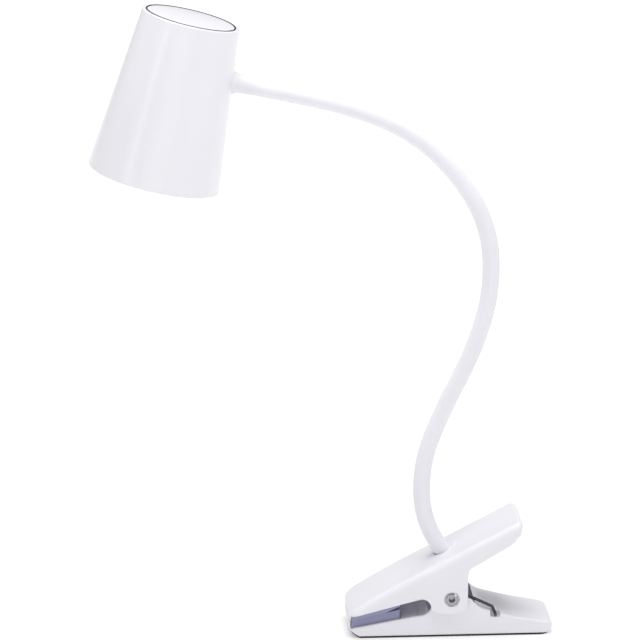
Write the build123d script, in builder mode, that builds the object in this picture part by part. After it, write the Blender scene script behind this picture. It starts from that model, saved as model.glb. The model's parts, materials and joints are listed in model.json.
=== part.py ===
from build123d import *
import os
from math import cos, radians, sin

# Clip-on reading lamp: a conical shade on a gooseneck that stands on a sprung clip.
# Millimetres. X runs along the clip from the jaw tips (-X) to the handles (+X), Z is up,
# and Y = 0 is the middle plane. The origin is under the pivot, on the foot's lower face.

# ---- Driving dimensions -------------------------------------------------------------
# Clip
JAW_WIDTH = 43.0  # across the upper jaw
WALL = 2.2  # side walls of both jaws
SIDE_GAP = 0.3  # between an upper wall and the lower wall inside it
BASE_WIDTH = JAW_WIDTH - 2 * (WALL + SIDE_GAP)
PIVOT_Z = 24.0
PIN_R = 2.5
PIN_CLEARANCE = 0.05
PIN_HEAD_R = 3.8
FOOT_T = 1.0
COVER_T = 1.6

# Torsion spring
WIRE_R = 0.9
LEG_R = 0.88  # the legs, which end inside the coil's wire
LEG_OVERLAP = 0.6
COIL_R = 4.6
COIL_TURNS = 10  # less the angle between the legs
LOWER_LEG_Y = -15.3
UPPER_LEG_Y = 10.5
LOWER_LEG_ANGLE = -26.0
LOWER_LEG_LENGTH = 25.0
HOOK_X = 26.2  # the lower leg's hooked end
HOOK_Z = 13.2

# Ballast in the lower jaw
BALLAST_BACK = -18.5
BALLAST_FRONT = 54.5
BALLAST_Z = FOOT_T + COVER_T + 0.1

# Gooseneck: equal arcs, each turning by so many degrees, from the clip to the head
NECK_R = 5.0
CORE_R = 3.6
CORE_BORE_R = 1.6
SLEEVE_BORE_R = 3.7
SOCKET_R = 5.15  # hollow end of an arc, round the ball end of the one before it
NECK_START = (-3.2, 47.2)
NECK_START_ANGLE = 129.0
NECK_ARC = 37.6
NECK_TURNS = (-36, -24, -6, 11, 19, 27, 18, 20, 9, 1)

# Shade, on an axis that leans towards +X at the top
SHADE_BOTTOM = (-171.8, 276.4)
SHADE_TILT = 13.6
SHADE_LENGTH = 95.0
SHADE_R_BOTTOM = 38.3
SHADE_R_TOP = 28.1
SHADE_WALL = 1.8
CAP_R = 25.6
CAP_T = 2.4
CAP_GAP = 0.55  # the ring round the cap
CAP_TRAVEL = 0.8
CAP_REST_GAP = 0.7  # under the cap when it is pressed home
BULKHEAD_T = 1.8

os.makedirs("parts", exist_ok=True)


def save(part, name):
    """Labels a finished piece and writes its STEP file."""
    part.label = name
    export_step(part, f"parts/{name}.step")


def direction(angle):
    """Unit vector in the middle plane, at an angle from +X towards +Z."""
    return Vector(cos(radians(angle)), 0, sin(radians(angle)))


# ---- Frames of the neck and the head ------------------------------------------------
# One plane at each end of each arc: its origin is the joint's centre, its z runs along
# the neck.
neck_planes = []
neck_middles = []
point = Vector(NECK_START[0], 0, NECK_START[1])
angle = NECK_START_ANGLE
neck_planes.append(Plane(origin=point, x_dir=(0, 1, 0), z_dir=direction(angle)))
for turn in NECK_TURNS:
    chord = NECK_ARC * sin(radians(turn / 2)) / radians(turn / 2)
    half_chord = NECK_ARC / 2 * sin(radians(turn / 4)) / radians(turn / 4)
    neck_middles.append(point + direction(angle + turn / 4) * half_chord)
    point = point + direction(angle + turn / 2) * chord
    angle += turn
    neck_planes.append(Plane(origin=point, x_dir=(0, 1, 0), z_dir=direction(angle)))

STUD = neck_planes[0]  # at the clip, z into the neck
ENTRY = neck_planes[-1]  # at the head, z into the shade
BOARD = Plane(origin=(-22, 0, 35.9), x_dir=direction(29.5), z_dir=direction(119.5))  # under the top plate

# The shade's axis is z of HEAD, and its section plane holds (radius, height).
shade_axis = Vector(sin(radians(SHADE_TILT)), 0, cos(radians(SHADE_TILT)))
shade_across = Vector(cos(radians(SHADE_TILT)), 0, -sin(radians(SHADE_TILT)))
shade_origin = Vector(SHADE_BOTTOM[0], 0, SHADE_BOTTOM[1])
HEAD = Plane(origin=shade_origin, x_dir=shade_across, z_dir=shade_axis)
SECTION = Plane(origin=shade_origin, x_dir=shade_across, z_dir=(0, -1, 0))
HEAD_AXIS = Axis(shade_origin, shade_axis)


def shade_radius(height):
    """Outer radius of the shade at a height up its axis."""
    return SHADE_R_BOTTOM - (SHADE_R_BOTTOM - SHADE_R_TOP) * height / SHADE_LENGTH


def head_ring(points, mode=Mode.ADD):
    """Turns a profile of (radius, height) points about the shade's axis."""
    with BuildSketch(SECTION) as profile:
        with BuildLine():
            Polyline(*points, close=True)
        make_face()
    revolve(profile.sketch, axis=HEAD_AXIS, mode=mode)


# ---- Lower jaw: the base, with the tail ---------------------------------------------
LIP_X = -59.2  # back of both tips' lips
LOBE_R = 8.6
WELL = (-13.2, 14.0)  # the spring's well between the lobes, along X
WELL_FLOOR = 10.5
PAD_SEAT = [(LIP_X, 5.4), (-30, 9.2)]
BASE_INSIDE = BASE_WIDTH / 2 - WALL
BASE_SCREWS = [(-22, 11), (-22, -11), (36, 11), (36, -11)]

with BuildPart() as lower_jaw:
    with BuildSketch(Plane.XZ):
        with BuildLine():
            Polyline((-54.5, FOOT_T), (-59.2, 3.6), (-61, 7), (-61, 10.6), (LIP_X, 10.6), (LIP_X, 6.1))
            Line((LIP_X, 6.1), (-20.5, 13.2))
            ThreePointArc((-20.5, 13.2), (-14.6, 14.9), (-11.5, 18.5))
            Line((-11.5, 18.5), (-8.31, 26.23))
            ThreePointArc((-8.31, 26.23), (0, PIVOT_Z + LOBE_R), (8.6, 24.4))
            Line((8.6, 24.4), (12.2, 22.6))
            ThreePointArc((12.2, 22.6), (16.2, 18.3), (21.8, 15.8))
            Polyline((21.8, 15.8), (38, 11.6), (57.3, 7.9))
            ThreePointArc((57.3, 7.9), (60.8, 4.8), (58.5, FOOT_T))
            Line((58.5, FOOT_T), (-54.5, FOOT_T))
        make_face()
    extrude(amount=BASE_WIDTH / 2, both=True)
    # rounded corners of the tail and the tip, seen from above
    with BuildSketch(Plane.XY.offset(-1)):
        with Locations((-0.1, 0)):
            RectangleRounded(121.9, BASE_WIDTH, 7)
    extrude(amount=60, mode=Mode.INTERSECT)
    # the pad's seat, and the spring's well
    with BuildSketch(Plane.XZ):
        with BuildLine():
            Polyline(*PAD_SEAT, (-30, 50), (LIP_X, 50), close=True)
        make_face()
        with BuildLine():
            Polyline(
                (WELL[0], WELL_FLOOR), (WELL[1], WELL_FLOOR), (WELL[1], 50), (WELL[0], 50), close=True,
            )
        make_face()
    extrude(amount=BASE_INSIDE, both=True, mode=Mode.SUBTRACT)
    # cavity under the deck, for the ballast
    with BuildSketch(Plane.XZ):
        with BuildLine():
            Polyline(
                (-54, 0), (-54, 3.6), (-30, 7.0), (-28, 9.4), (-20.5, 11.0), (-15.4, 11.6), (-15.4, 8.4),
                (16, 8.4), (16, 14.0), (22, 10.4), (29.5, 10.0), (36, 8.6), (55.5, 5.5), (55.5, 0),
                close=True,
            )
        make_face()
    extrude(amount=BASE_INSIDE, both=True, mode=Mode.SUBTRACT)
    # screw posts from the deck to the cover
    with Locations(*[(x, y, FOOT_T + COVER_T) for x, y in BASE_SCREWS]):
        Cylinder(2.6, 8.6, align=(Align.CENTER, Align.CENTER, Align.MIN))
        Cylinder(1.05, 5.0, align=(Align.CENTER, Align.CENTER, Align.MIN), mode=Mode.SUBTRACT)
    # notch in the tail's near edge for the spring's hooked end
    with Locations((HOOK_X - 0.2, -BASE_WIDTH / 2, HOOK_Z + 0.7)):
        Box(5.6, 10.6, 4.6, mode=Mode.SUBTRACT)
    with Locations((0, 0, PIVOT_Z)):
        Cylinder(PIN_R + 0.02, BASE_WIDTH + 2, rotation=(90, 0, 0), mode=Mode.SUBTRACT)
save(lower_jaw.part, "lower_jaw")

with BuildPart() as base_cover:
    with Locations((0.8, 0, FOOT_T)):
        Box(109, 2 * BASE_INSIDE - 0.3, COVER_T, align=(Align.CENTER, Align.CENTER, Align.MIN))
    with Locations(*[(x, y, FOOT_T) for x, y in BASE_SCREWS]):
        Cylinder(1.4, COVER_T, align=(Align.CENTER, Align.CENTER, Align.MIN), mode=Mode.SUBTRACT)
        Cone(2.6, 1.4, 0.9, align=(Align.CENTER, Align.CENTER, Align.MIN), mode=Mode.SUBTRACT)
save(base_cover.part, "base_cover")

with BuildPart() as base_screws:
    with Locations(*[(x, y, FOOT_T + 0.1) for x, y in BASE_SCREWS]):
        Cone(2.45, 1.0, 0.8, align=(Align.CENTER, Align.CENTER, Align.MIN))
        Cylinder(1.0, 5.6, align=(Align.CENTER, Align.CENTER, Align.MIN))
save(base_screws.part, "base_screws")

with BuildPart() as ballast_block:
    with BuildSketch(Plane.XZ):
        with BuildLine():
            Polyline(
                (BALLAST_BACK, BALLAST_Z), (BALLAST_BACK, 7.75), (-14, 8.15), (16.3, 8.15), (16.3, 13.5),
                (22, 10.1), (29.5, 9.7), (36, 8.3), (BALLAST_FRONT, 5.3), (BALLAST_FRONT, BALLAST_Z),
                close=True,
            )
        make_face()
    extrude(amount=BASE_INSIDE - 0.3, both=True)
    fillet(ballast_block.edges().filter_by(Axis.Z), radius=2)
    # recesses that clear the screw posts at the tail
    with Locations(*[(x, y, BALLAST_Z) for x, y in BASE_SCREWS if x > 0]):
        Cylinder(3.1, 7, align=(Align.CENTER, Align.CENTER, Align.MIN), mode=Mode.SUBTRACT)
save(ballast_block.part, "ballast_block")

with BuildPart() as foot_pad:
    with BuildSketch(Plane.XZ):
        with BuildLine():
            Polyline(
                (-54.2, 0), (57, 0), (58, FOOT_T), (-54.5, FOOT_T), (-59.2, 3.6), (-59.0, 2.6), close=True,
            )
        make_face()
    extrude(amount=BASE_WIDTH / 2 - 0.4, both=True)
    with BuildSketch(Plane.XY.offset(-1)):
        with Locations((-0.3, 0)):
            RectangleRounded(118, BASE_WIDTH - 0.8, 6.6)
    extrude(amount=10, mode=Mode.INTERSECT)
save(foot_pad.part, "foot_pad")

# ---- Upper jaw, with the handle -----------------------------------------------------
UPPER_INSIDE = JAW_WIDTH / 2 - WALL
BOSS_DEPTH = 5.0  # neck boss under the top plate
COVER_SCREWS = [(-9.5, 12), (-9.5, -12)]

with BuildPart() as upper_jaw:
    with BuildSketch(Plane.XZ):
        with BuildLine():
            Line((-60.9, 11.1), (-62.0, 13.0))
            ThreePointArc((-62.0, 13.0), (-61.8, 15.0), (-60.0, 16.5))
            ThreePointArc((-60.0, 16.5), (-36.9, 30.6), (-12.6, 43.5))
            Line((-12.6, 43.5), (38.6, 70.3))
            ThreePointArc((38.6, 70.3), (42.6, 69.4), (43.2, 65.4))
            ThreePointArc((43.2, 65.4), (41.9, 61.8), (38.6, 59.2))
            Line((38.6, 59.2), (13.2, 44.0))
            ThreePointArc((13.2, 44.0), (10.5, 41.9), (9.5, 38.6))
            Line((9.5, 38.6), (9.5, 19.5))
            ThreePointArc((9.5, 19.5), (8.7, 17.1), (6.5, 15.8))
            ThreePointArc((6.5, 15.8), (-2.0, 14.5), (-10.4, 16.4))
            ThreePointArc((-10.4, 16.4), (-12.0, 17.6), (-12.2, 19.6))
            ThreePointArc((-12.2, 19.6), (-14.2, 23.1), (-19.5, 24.1))
            Polyline((-19.5, 24.1), (LIP_X, 13.7), (LIP_X, 11.1), (-60.9, 11.1))
        make_face()
    extrude(amount=JAW_WIDTH / 2, both=True)
    # rounded corners of the tip and the handle, seen from above
    with BuildSketch(Plane.XY):
        with Locations((-9.4, 0)):
            RectangleRounded(105.2, JAW_WIDTH, 7)
    extrude(amount=90, mode=Mode.INTERSECT)
    # hollow underside between the walls
    with BuildSketch(Plane.XZ):
        with BuildLine():
            Line((LIP_X, 5), (LIP_X, 14.2))
            ThreePointArc((LIP_X, 14.2), (-36.3, 28.1), (-11.6, 41.3))
            Polyline((-11.6, 41.3), (37.2, 66.6), (39.8, 65.0), (39.8, 5), (LIP_X, 5))
        make_face()
    extrude(amount=UPPER_INSIDE, both=True, mode=Mode.SUBTRACT)
    # ribs that back the pad
    with BuildSketch(Plane.XZ):
        with BuildLine():
            Polyline((-54, 16.9), (-31, 24.4), (-31, 31.5), (-54, 18.5), close=True)
        make_face()
    extrude(amount=0.8, both=True)
    # posts for the inner cover
    with Locations(*[(x, y, 32.0) for x, y in COVER_SCREWS]):
        Cylinder(2.6, 12.0, align=(Align.CENTER, Align.CENTER, Align.MIN))
        Cylinder(1.05, 6.0, align=(Align.CENTER, Align.CENTER, Align.MIN), mode=Mode.SUBTRACT)
    # seat for the spring's upper leg
    with BuildSketch(Plane.XZ.offset(-UPPER_LEG_Y)):
        with BuildLine():
            Polyline((17.5, 49.6), (25, 54.2), (25, 61.5), (17.5, 57.6), close=True)
        make_face()
    extrude(amount=1.6, both=True)
    # opening for the power socket in the far wall
    with Locations(BOARD):
        with Locations((0, UPPER_INSIDE, -2.4)):
            Box(9.4, 8, 3.6, mode=Mode.SUBTRACT)
    # boss and spotface of the neck, square to it
    with Locations(STUD.offset(-0.9)):
        Cylinder(8.5, BOSS_DEPTH - 0.9, align=(Align.CENTER, Align.CENTER, Align.MAX))
    with Locations(STUD):
        Cylinder(NECK_R + 0.4, 8, align=(Align.CENTER, Align.CENTER, Align.MIN), mode=Mode.SUBTRACT)
        Cylinder(4.1, 12, align=(Align.CENTER, Align.CENTER, Align.MAX), mode=Mode.SUBTRACT)
    # pin holes and the shallow counterbores round the pin's ends
    with Locations((0, 0, PIVOT_Z)):
        Cylinder(PIN_R + PIN_CLEARANCE, JAW_WIDTH + 2, rotation=(90, 0, 0), mode=Mode.SUBTRACT)
    for side in (-1, 1):
        with Locations((0, side * JAW_WIDTH / 2, PIVOT_Z)):
            Cylinder(PIN_HEAD_R + 0.7, 1.6, rotation=(90, 0, 0), mode=Mode.SUBTRACT)
save(upper_jaw.part, "upper_jaw")

# ---- Jaw pads -----------------------------------------------------------------------
with BuildPart() as lower_pad:
    with BuildSketch(Plane.XZ):
        with BuildLine():
            Polyline((-59.1, 5.5), (-30.3, 9.3), (-30.3, 16.9), (-40, 14.85), (-59.1, 10.55), close=True)
        make_face()
    extrude(amount=BASE_INSIDE - 0.1, both=True)
save(lower_pad.part, "lower_pad")

with BuildPart() as upper_pad:
    with BuildSketch(Plane.XZ):
        with BuildLine():
            Polyline(
                (-59.1, 10.95), (-40, 15.2), (-30.3, 19.6), (-30.3, 24.5), (-54.5, 16.6), (-59.1, 14.1),
                close=True,
            )
        make_face()
    extrude(amount=UPPER_INSIDE - 0.1, both=True)
save(upper_pad.part, "upper_pad")

# ---- Pivot pin, its cap and the torsion spring --------------------------------------
HEAD_SEAT = JAW_WIDTH / 2 - 0.75

with BuildPart() as pivot_pin:
    with BuildSketch(Plane(origin=(0, 0, PIVOT_Z), x_dir=(1, 0, 0), z_dir=(0, 0, 1))):
        with BuildLine():
            Polyline(
                (0, 2.5 - HEAD_SEAT), (1.5, 2 - HEAD_SEAT), (1.5, -HEAD_SEAT - 0.9), (3.2, -HEAD_SEAT - 0.9),
                (PIN_HEAD_R, -HEAD_SEAT - 0.4), (PIN_HEAD_R, -HEAD_SEAT), (PIN_R, -HEAD_SEAT),
                (PIN_R, HEAD_SEAT + 0.6), (0, HEAD_SEAT + 0.6), close=True,
            )
        make_face()
    revolve(axis=Axis((0, 0, PIVOT_Z), (0, 1, 0)))
save(pivot_pin.part, "pivot_pin")

with BuildPart() as pin_cap:
    with BuildSketch(Plane(origin=(0, 0, PIVOT_Z), x_dir=(1, 0, 0), z_dir=(0, 0, 1))):
        with BuildLine():
            Polyline(
                (PIN_R, HEAD_SEAT), (PIN_HEAD_R, HEAD_SEAT), (PIN_HEAD_R, HEAD_SEAT + 0.4),
                (3.2, HEAD_SEAT + 0.9), (PIN_R, HEAD_SEAT + 0.9), close=True,
            )
        make_face()
    revolve(axis=Axis((0, 0, PIVOT_Z), (0, 1, 0)))
save(pin_cap.part, "pin_cap")

leg_foot_angle = 90 + LOWER_LEG_ANGLE  # where the lower leg leaves the coil
coil_turns = COIL_TURNS - leg_foot_angle / 360
coil_length = UPPER_LEG_Y - LOWER_LEG_Y
coil_foot = Vector(0, LOWER_LEG_Y, PIVOT_Z)
leg_foot = coil_foot + direction(leg_foot_angle) * COIL_R
leg_start = leg_foot - direction(LOWER_LEG_ANGLE) * LEG_OVERLAP
leg_end = leg_foot + direction(LOWER_LEG_ANGLE) * LOWER_LEG_LENGTH

with BuildPart() as torsion_spring:
    with BuildLine() as coil:
        turns = Helix(
            coil_length / coil_turns, coil_length, COIL_R, center=coil_foot, direction=(0, 1, 0),
            lefthand=True, mode=Mode.PRIVATE,
        )
        add(turns.rotate(Axis(coil_foot, (0, 1, 0)), -LOWER_LEG_ANGLE))
    with BuildSketch(Plane(origin=coil.line @ 0, z_dir=coil.line % 0)):
        Circle(WIRE_R)
    sweep(path=coil.line, is_frenet=True)
    # lower leg, with its end hooked into the near wall's notch
    with BuildLine() as lower_leg:
        FilletPolyline(
            leg_start, leg_end, (HOOK_X, LOWER_LEG_Y - 0.2, HOOK_Z), (HOOK_X, -BASE_WIDTH / 2 + 0.1, HOOK_Z),
            radius=1.2,
        )
    with BuildSketch(Plane(origin=lower_leg.line @ 0, z_dir=lower_leg.line % 0)):
        Circle(LEG_R)
    sweep(path=lower_leg.line)
    # upper leg, bent along the handle
    with BuildLine(Plane.XZ.offset(-UPPER_LEG_Y)) as upper_leg:
        FilletPolyline((COIL_R, PIVOT_Z - LEG_OVERLAP), (COIL_R, 40.4), (24.5, 52.4), radius=3)
    with BuildSketch(Plane(origin=upper_leg.line @ 0, z_dir=upper_leg.line % 0)):
        Circle(LEG_R)
    sweep(path=upper_leg.line)
save(torsion_spring.part, "torsion_spring")

# ---- Neck fixing in the clip --------------------------------------------------------
STUD_R = 4.0
STUD_BORE_R = 2.0
NUT_FLATS = 13.0

with BuildPart() as clip_stud:
    with Locations(STUD):
        Cylinder(STUD_R, 10.5, align=(Align.CENTER, Align.CENTER, Align.MAX))
        Cylinder(STUD_BORE_R, 10.5, align=(Align.CENTER, Align.CENTER, Align.MAX), mode=Mode.SUBTRACT)
save(clip_stud.part, "clip_stud")

with BuildPart() as clip_washer:
    with Locations(STUD.offset(-BOSS_DEPTH)):
        Cylinder(7.0, 0.8, align=(Align.CENTER, Align.CENTER, Align.MAX))
        Cylinder(STUD_R + 0.1, 0.8, align=(Align.CENTER, Align.CENTER, Align.MAX), mode=Mode.SUBTRACT)
save(clip_washer.part, "clip_washer")

with BuildPart() as clip_nut:
    with BuildSketch(STUD.offset(-BOSS_DEPTH - 0.8)):
        RegularPolygon(NUT_FLATS / 2, 6, major_radius=False)
        Circle(STUD_R, mode=Mode.SUBTRACT)
    extrude(amount=-3.6)
save(clip_nut.part, "clip_nut")

# ---- Inner cover, power board and socket --------------------------------------------
with BuildPart() as inner_cover:
    with BuildSketch(Plane.XZ):
        with BuildLine():
            Polyline(
                (-29.8, 22.7), (-19, 25.0), (-12, 28.0), (2.6, 34.4), (2.0, 35.9),
                (-12.6, 29.5), (-19.4, 26.5), (-29.8, 24.3), close=True,
            )
        make_face()
    extrude(amount=BASE_INSIDE - 0.4, both=True)
    with Locations(*[(x, y, 29.8) for x, y in COVER_SCREWS]):
        Cylinder(1.3, 8, mode=Mode.SUBTRACT)
save(inner_cover.part, "inner_cover")

with BuildPart() as cover_screws:
    with Locations(*[(x, y, 28.0) for x, y in COVER_SCREWS]):
        Cylinder(2.2, 0.9, align=(Align.CENTER, Align.CENTER, Align.MAX))
        Cylinder(1.0, 8.5, align=(Align.CENTER, Align.CENTER, Align.MIN))
save(cover_screws.part, "cover_screws")

with BuildPart() as power_board:
    with Locations(BOARD):
        with Locations((-0.5, 8.0, -4.8)):
            Box(15, 21, 1.2)
save(power_board.part, "power_board")

with BuildPart() as power_socket:
    with Locations(BOARD):
        with Locations((0, 17.6, -2.55)):
            Box(9.0, 7.4, 3.2)
    fillet(power_socket.edges().filter_by(Axis.Y), radius=1.4)
    with Locations(BOARD):
        with Locations((0, 18.6, -2.55)):
            Box(8.0, 6.0, 2.3, mode=Mode.SUBTRACT)
        with Locations((0, 17.6, -2.55)):
            Box(6.4, 4.6, 0.7)
save(power_socket.part, "power_socket")

with BuildPart() as clip_leads:
    for side in (-1, 1):
        with BuildLine(Plane.XZ.offset(side)) as route:
            FilletPolyline((3.0, 39.5), (4.5, 37.6), (-9.0, 32.0), (-12.8, 33.6), radius=0.8)
        with BuildSketch(Plane(origin=route.line @ 0, z_dir=route.line % 0)):
            Circle(0.6)
        sweep(path=route.line)
save(clip_leads.part, "clip_leads")

# ---- Gooseneck ----------------------------------------------------------------------
neck_ends = zip(neck_planes, neck_middles, neck_planes[1:])
for number, (near, middle, far) in enumerate(neck_ends, start=1):
    far_axis = Axis(far.origin, far.z_dir)
    far_section = Plane(origin=far.origin, x_dir=(0, 1, 0), z_dir=Vector(0, 1, 0).cross(far.z_dir))
    for layer, outer, inner in (("core", CORE_R, CORE_BORE_R), ("sleeve", NECK_R, SLEEVE_BORE_R)):
        with BuildPart() as segment:
            with BuildLine() as arc:
                ThreePointArc(near.origin, middle, far.origin)
            with BuildSketch(near):
                Circle(outer)
                Circle(inner, mode=Mode.SUBTRACT)
            sweep(path=arc.line)
            if number < len(NECK_TURNS):
                # ball end, which turns in the next arc's hollow end
                with BuildSketch(far_section):
                    Circle(NECK_R)
                    with Locations(((outer + inner) / 2, NECK_R / 2)):
                        Rectangle(outer - inner, NECK_R, mode=Mode.INTERSECT)
                revolve(axis=far_axis)
            if number > 1:
                with Locations(near.origin):
                    Sphere(SOCKET_R, mode=Mode.SUBTRACT)
        save(segment.part, f"neck_{layer}_{number:02d}")

# ---- Shade and cap ------------------------------------------------------------------
RECESS_R = CAP_R + CAP_GAP
BULKHEAD_TOP = SHADE_LENGTH - CAP_T - CAP_TRAVEL - CAP_REST_GAP
BULKHEAD = BULKHEAD_TOP - BULKHEAD_T
STEM_R = 4.0  # the cap's stem
STEM_END = 87.05
GROOVE_R = 3.2  # groove of the stem's clip
GROOVE = 88.3
GROOVE_T = 0.8
POST_START = 60  # angle of the first of three posts
POST_CIRCLE = 24.0
BOARD_POST_CIRCLE = 13.0
HEAT_SINK_TOP = 50.5
HEAT_SINK_T = 2.5
FLANGE = 46.4  # underside of the reflector's flange
FLANGE_T = 1.55
BOARD_TOP = 81.8

with BuildPart() as shade_shell:
    head_ring([
        (SHADE_R_BOTTOM, 0), (SHADE_R_TOP, SHADE_LENGTH), (RECESS_R, SHADE_LENGTH), (RECESS_R, BULKHEAD_TOP),
        (STEM_R + 0.06, BULKHEAD_TOP), (STEM_R + 0.06, BULKHEAD),
        (shade_radius(BULKHEAD) - SHADE_WALL, BULKHEAD),
        (SHADE_R_BOTTOM - SHADE_WALL, 0),
    ])
    rims = shade_shell.edges().filter_by(GeomType.CIRCLE).sort_by(SortBy.RADIUS)
    fillet([rims[-1]], radius=0.8)
    # posts for the light unit and the control board, under the bulkhead
    with BuildSketch(HEAD.offset(HEAT_SINK_TOP + 0.1)):
        with PolarLocations(POST_CIRCLE, 3, start_angle=POST_START):
            Circle(3.0)
            Circle(1.2, mode=Mode.SUBTRACT)
    extrude(amount=BULKHEAD - HEAT_SINK_TOP)
    with BuildSketch(HEAD.offset(BOARD_TOP)):
        with PolarLocations(BOARD_POST_CIRCLE, 2, start_angle=90):
            Circle(2.4)
            Circle(0.9, mode=Mode.SUBTRACT)
    extrude(amount=BULKHEAD - BOARD_TOP + 0.1)
    # flat pad inside the wall and the hole for the neck's stud
    with Locations(ENTRY.offset(11.5)):
        Cylinder(9.0, 3.2, align=(Align.CENTER, Align.CENTER, Align.MIN))
    with Locations(ENTRY):
        Cylinder(STUD_R + 0.1, 18, align=(Align.CENTER, Align.CENTER, Align.MIN), mode=Mode.SUBTRACT)
save(shade_shell.part, "shade_shell")

with BuildPart() as top_cap:
    head_ring([
        (0, SHADE_LENGTH), (CAP_R, SHADE_LENGTH), (CAP_R, SHADE_LENGTH - CAP_T),
        (STEM_R, SHADE_LENGTH - CAP_T),
        (STEM_R, GROOVE + GROOVE_T), (GROOVE_R, GROOVE + GROOVE_T), (GROOVE_R, GROOVE), (STEM_R, GROOVE),
        (STEM_R, STEM_END), (0, STEM_END),
    ])
    rims = top_cap.edges().filter_by(GeomType.CIRCLE).sort_by(SortBy.RADIUS)
    fillet(rims[-2:].sort_by(HEAD_AXIS)[-1:], radius=0.4)
save(top_cap.part, "top_cap")

with BuildPart() as cap_clip:
    head_ring([
        (GROOVE_R, GROOVE + 0.05), (6.5, GROOVE + 0.05), (6.5, GROOVE + GROOVE_T - 0.05),
        (GROOVE_R, GROOVE + GROOVE_T - 0.05),
    ])
save(cap_clip.part, "cap_clip")

# ---- Switch, control board and light unit -------------------------------------------
with BuildPart() as control_board:
    with BuildSketch(HEAD.offset(BOARD_TOP - 1.6)):
        Circle(17.0)
        with PolarLocations(BOARD_POST_CIRCLE, 2, start_angle=90):
            Circle(1.2, mode=Mode.SUBTRACT)
    extrude(amount=1.55)
save(control_board.part, "control_board")

with BuildPart() as push_switch:
    with BuildSketch(HEAD.offset(BOARD_TOP)):
        RectangleRounded(6, 6, 0.5)
    extrude(amount=3.4)
    with BuildSketch(HEAD.offset(BOARD_TOP + 3.4)):
        Circle(1.7)
    extrude(amount=1.0)
save(push_switch.part, "push_switch")

with BuildPart() as board_screws:
    with BuildSketch(HEAD.offset(BOARD_TOP - 1.65)):
        with PolarLocations(BOARD_POST_CIRCLE, 2, start_angle=90):
            Circle(1.9)
    extrude(amount=-1.2)
    with BuildSketch(HEAD.offset(BOARD_TOP - 1.65)):
        with PolarLocations(BOARD_POST_CIRCLE, 2, start_angle=90):
            Circle(0.85)
    extrude(amount=5.5)
save(board_screws.part, "board_screws")

with BuildPart() as heat_sink:
    with BuildSketch(HEAD.offset(HEAT_SINK_TOP - HEAT_SINK_T)):
        Circle(28.5)
        with PolarLocations(POST_CIRCLE, 3, start_angle=POST_START):
            Circle(1.5, mode=Mode.SUBTRACT)
    extrude(amount=HEAT_SINK_T)
    with BuildSketch(HEAD.offset(HEAT_SINK_TOP)):
        with PolarLocations(11.5, 12):
            Rectangle(12, 1.2)
    extrude(amount=4.5)
save(heat_sink.part, "heat_sink")

with BuildPart() as led_board:
    with BuildSketch(HEAD.offset(HEAT_SINK_TOP - 4.1)):
        Circle(18.0)
    extrude(amount=1.55)
save(led_board.part, "led_board")

with BuildPart() as leds:
    with BuildSketch(HEAD.offset(HEAT_SINK_TOP - 4.15)):
        with PolarLocations(13.0, 12):
            Rectangle(2.8, 3.5)
        with PolarLocations(6.0, 6):
            Rectangle(2.8, 3.5)
    extrude(amount=-0.8)
save(leds.part, "leds")

with BuildPart() as reflector:
    head_ring([
        (18.6, FLANGE + FLANGE_T), (27.5, FLANGE + FLANGE_T), (27.5, FLANGE), (20.2, FLANGE),
        (32.6, 26.5), (31.3, 26.5), (18.6, FLANGE + 0.3),
    ])
    with BuildSketch(HEAD.offset(FLANGE)):
        with PolarLocations(POST_CIRCLE, 3, start_angle=POST_START):
            Circle(1.5)
    extrude(amount=FLANGE_T, mode=Mode.SUBTRACT)
save(reflector.part, "reflector")

with BuildPart() as diffuser:
    head_ring([(0, 24.3), (33.2, 24.3), (33.2, 26.3), (0, 26.3)])
save(diffuser.part, "diffuser")

with BuildPart() as lens_ring:
    head_ring([(30.8, 21.6), (34.0, 21.6), (33.8, 24.2), (30.8, 24.2)])
save(lens_ring.part, "lens_ring")

with BuildPart() as module_screws:
    with BuildSketch(HEAD.offset(FLANGE - 0.05)):
        with PolarLocations(POST_CIRCLE, 3, start_angle=POST_START):
            Circle(2.3)
    extrude(amount=-1.4)
    with BuildSketch(HEAD.offset(FLANGE - 0.05)):
        with PolarLocations(POST_CIRCLE, 3, start_angle=POST_START):
            Circle(1.15)
    extrude(amount=10)
save(module_screws.part, "module_screws")

# ---- Neck fixing in the head --------------------------------------------------------
with BuildPart() as head_collar:
    with BuildSketch(Plane(origin=ENTRY.origin, x_dir=(0, 1, 0), z_dir=Vector(0, 1, 0).cross(ENTRY.z_dir))):
        with BuildLine():
            Line((4.05, 0), (NECK_R + 0.1, 0))
            Spline((NECK_R + 0.1, 0), (5.6, 6), (6.6, 12), tangents=((0.05, 1), (0.25, 1)))
            Polyline((6.6, 12), (4.05, 12), (4.05, 0))
        make_face()
    revolve(axis=Axis(ENTRY.origin, ENTRY.z_dir))
    # its end is shaped to the shade's wall
    head_ring([(0, 0), (SHADE_R_BOTTOM, 0), (SHADE_R_TOP, SHADE_LENGTH), (0, SHADE_LENGTH)], Mode.SUBTRACT)
save(head_collar.part, "head_collar")

with BuildPart() as head_stud:
    with Locations(ENTRY.offset(0.02)):
        Cylinder(STUD_R, 20, align=(Align.CENTER, Align.CENTER, Align.MIN))
        Cylinder(STUD_BORE_R, 20, align=(Align.CENTER, Align.CENTER, Align.MIN), mode=Mode.SUBTRACT)
save(head_stud.part, "head_stud")

with BuildPart() as head_nut:
    with BuildSketch(ENTRY.offset(14.75)):
        RegularPolygon(NUT_FLATS / 2, 6, major_radius=False)
        Circle(STUD_R, mode=Mode.SUBTRACT)
    extrude(amount=3.6)
save(head_nut.part, "head_nut")

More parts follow.
